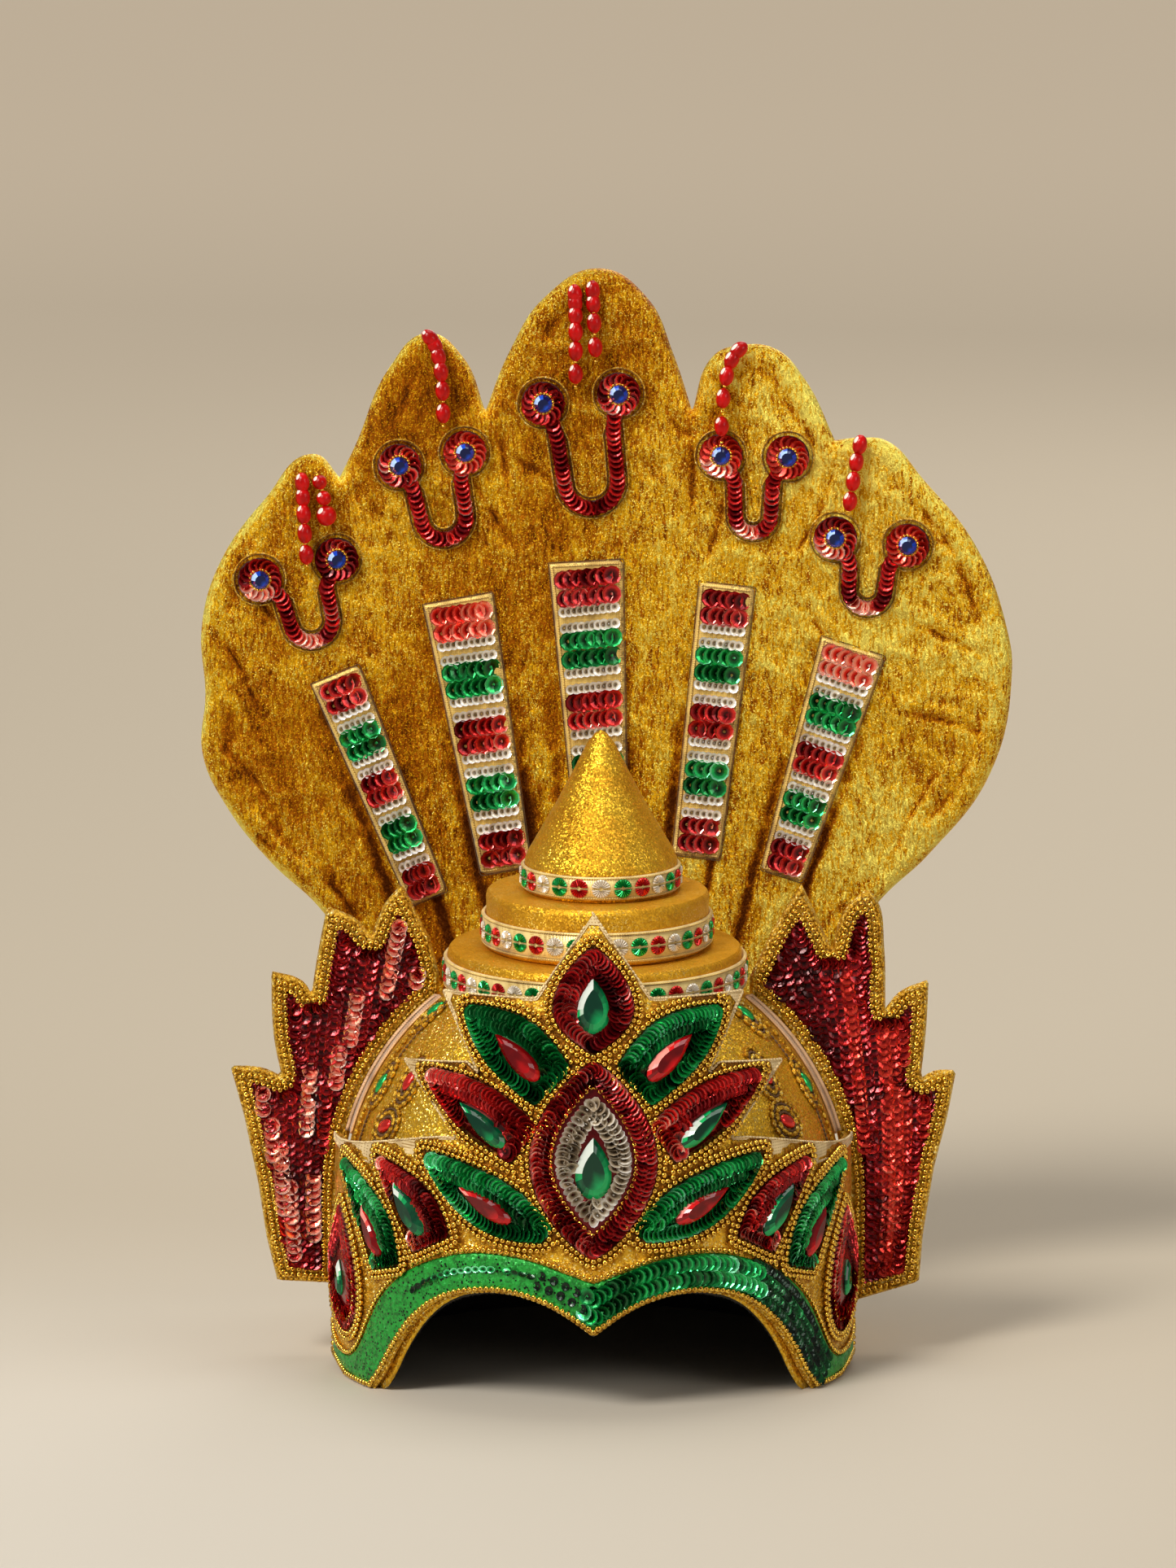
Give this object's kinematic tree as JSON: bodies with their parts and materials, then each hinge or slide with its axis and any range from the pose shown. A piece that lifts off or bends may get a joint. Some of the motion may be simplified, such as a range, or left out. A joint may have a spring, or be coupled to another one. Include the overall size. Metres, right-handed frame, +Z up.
{
  "type": "dance crown",
  "caption": "Dance crown: a domed helmet with a petalled front plate, flame-shaped side wings, stacked tiers and a tall lobed hood behind, set with drop stones and bead strings.",
  "frame": {"origin": "centre of the bounding box on the surface that the crown stands on", "axes": "+Z up, -Y to the front of the crown, +X to the viewer's right from the front"},
  "size_m": [0.3034, 0.2113, 0.396],
  "materials": {
    "gold_cloth": "gold tissue cloth with sequins and seed beads, glossy",
    "glitter_gold": "gold glitter cloth, sparkling",
    "light_gold_cloth": "pale gold cloth with rows of sequins",
    "sheer_ribbon": "sheer embroidered ribbon, satin",
    "black_lining": "matt black lining cloth",
    "red_sequin": "red sequins, glossy",
    "red_stone": "faceted acrylic stone, glossy",
    "green_stone": "faceted acrylic stone, glossy",
    "blue_stone": "faceted acrylic stone, glossy",
    "red_bead": "translucent red bead, glossy"
  },
  "bodies": {
    "root": {"crest_plate": "gold_cloth", "hood": "gold_cloth", "side_flap_left": "gold_cloth", "side_flap_right": "gold_cloth", "helmet_shell": "glitter_gold", "tier_lower": "glitter_gold", "tier_middle": "glitter_gold", "tier_cone": "glitter_gold", "hood_strip_1": "light_gold_cloth", "hood_strip_2": "light_gold_cloth", "hood_strip_3": "light_gold_cloth", "hood_strip_4": "light_gold_cloth", "hood_strip_5": "light_gold_cloth", "ribbon_lower": "sheer_ribbon", "ribbon_middle": "sheer_ribbon", "ribbon_cone": "sheer_ribbon", "seam_ribbon_left": "sheer_ribbon", "seam_ribbon_right": "sheer_ribbon", "lining": "black_lining", "wing_left": "red_sequin", "wing_right": "red_sequin", "hood_mark_1": "red_sequin", "hood_mark_2": "red_sequin", "hood_mark_3": "red_sequin", "hood_mark_4": "red_sequin", "hood_mark_5": "red_sequin", "upper_stone_left": "red_stone", "upper_stone_right": "red_stone", "lower_stone_left": "red_stone", "lower_stone_right": "red_stone", "edge_stone_left": "red_stone", "edge_stone_right": "red_stone", "top_stone": "green_stone", "centre_stone": "green_stone", "middle_stone_left": "green_stone", "middle_stone_right": "green_stone", "outer_stone_left": "green_stone", "outer_stone_right": "green_stone", "side_stone_left": "green_stone", "side_stone_right": "green_stone", "eye_stone_1": "blue_stone", "eye_stone_2": "blue_stone", "eye_stone_3": "blue_stone", "eye_stone_4": "blue_stone", "eye_stone_5": "blue_stone", "eye_stone_6": "blue_stone", "eye_stone_7": "blue_stone", "eye_stone_8": "blue_stone", "eye_stone_9": "blue_stone", "eye_stone_10": "blue_stone", "bead_string_1": "red_bead", "bead_string_2": "red_bead", "bead_string_3": "red_bead", "bead_string_4": "red_bead", "bead_string_5": "red_bead", "bead_string_6": "red_bead", "bead_string_7": "red_bead"}
  },
  "joints": []
}
